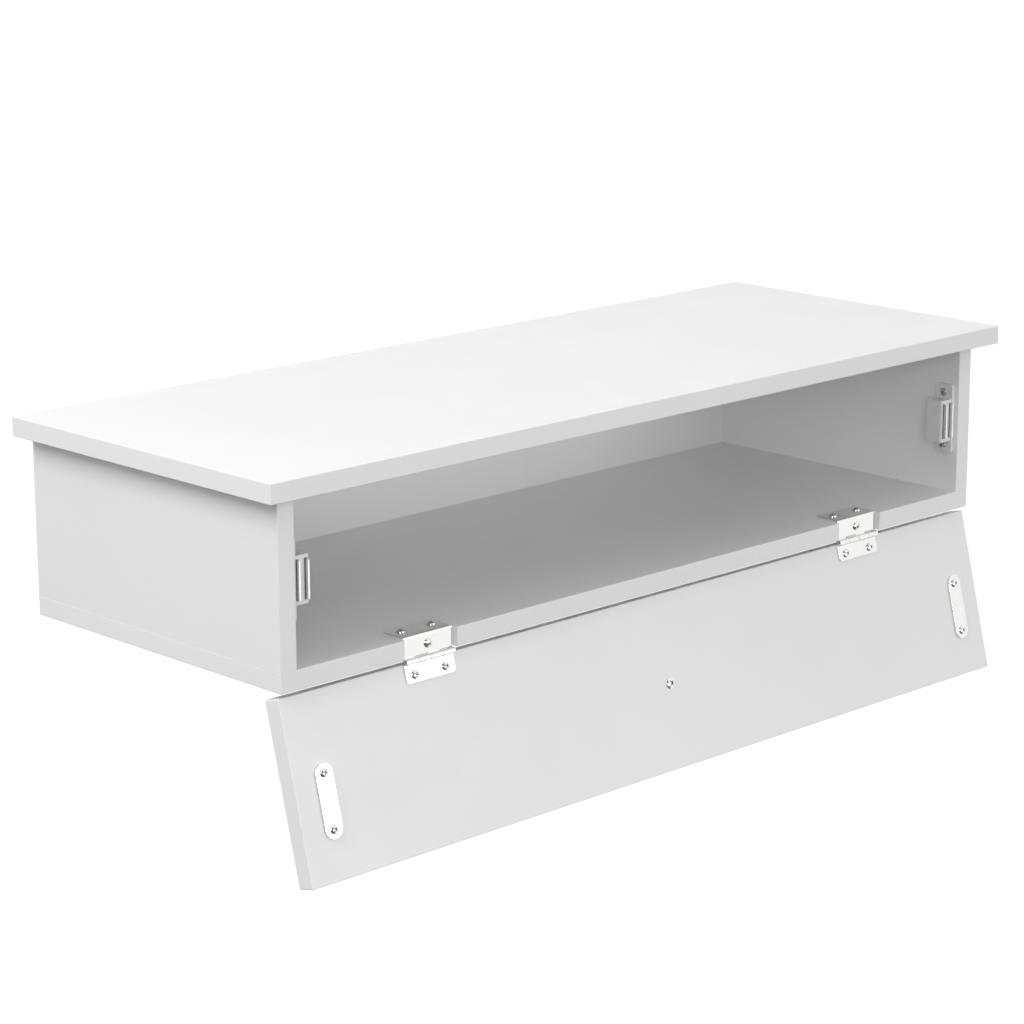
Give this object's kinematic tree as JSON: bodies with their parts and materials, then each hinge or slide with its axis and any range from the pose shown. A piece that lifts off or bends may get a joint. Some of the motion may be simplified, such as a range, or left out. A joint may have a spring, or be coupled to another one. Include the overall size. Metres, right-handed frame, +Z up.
{
  "type": "wall-hung flap desk",
  "caption": "Shallow wall-hung desk in white board: an overhanging top over one open compartment, closed by a drop-down flap on butt hinges with magnetic catches.",
  "frame": {"origin": "centre of the rectangle of four wall screws, on the back face that lies against the wall", "axes": "+X along the desk to the right seen from the room, +Y out of the back into the wall, +Z up; the flap faces -Y"},
  "size_m": [0.8, 0.3144, 0.2978],
  "materials": {
    "white_board": "satin white lacquered fibreboard",
    "white_edge": "satin white edge band",
    "dowel_wood": "bare beech",
    "nickel_steel": "bright nickel plate",
    "zinc_screw": "bright zinc plate",
    "pole_steel": "plain plated steel",
    "white_plastic": "moulded white plastic",
    "magnet": "sintered ferrite",
    "knob_metal": "satin nickel"
  },
  "bodies": {
    "body": {"top_panel": "white_board", "left_side_panel": "white_board", "right_side_panel": "white_board", "bottom_panel": "white_board", "back_panel": "white_board", "top_edge_bands": "white_edge", "left_side_edge_band": "white_edge", "right_side_edge_band": "white_edge", "bottom_edge_bands": "white_edge", "top_dowels": "dowel_wood", "bottom_dowels": "dowel_wood", "back_dowels": "dowel_wood", "left_hinge_fixed_leaf": "nickel_steel", "right_hinge_fixed_leaf": "nickel_steel", "left_hinge_pin": "nickel_steel", "right_hinge_pin": "nickel_steel", "left_hinge_body_screws": "zinc_screw", "right_hinge_body_screws": "zinc_screw", "left_catch_case": "white_plastic", "right_catch_case": "white_plastic", "left_catch_magnet": "magnet", "right_catch_magnet": "magnet", "left_catch_pole_plates": "pole_steel", "right_catch_pole_plates": "pole_steel", "left_catch_screws": "zinc_screw", "right_catch_screws": "zinc_screw"},
    "flap": {"flap_panel": "white_board", "flap_edge_bands": "white_edge", "left_hinge_moving_leaf": "nickel_steel", "right_hinge_moving_leaf": "nickel_steel", "left_hinge_flap_screws": "zinc_screw", "right_hinge_flap_screws": "zinc_screw", "left_strike_plate": "nickel_steel", "right_strike_plate": "nickel_steel", "left_strike_screws": "zinc_screw", "right_strike_screws": "zinc_screw", "knob": "knob_metal", "knob_screw": "zinc_screw"}
  },
  "joints": [
    {"name": "flap_hinge", "type": "hinge", "parent": "body", "child": "flap", "pos_m": [0, -0.2829, -0.0975], "axis": [-1, 0, 0], "range_deg": [-25, 165.8]}
  ]
}
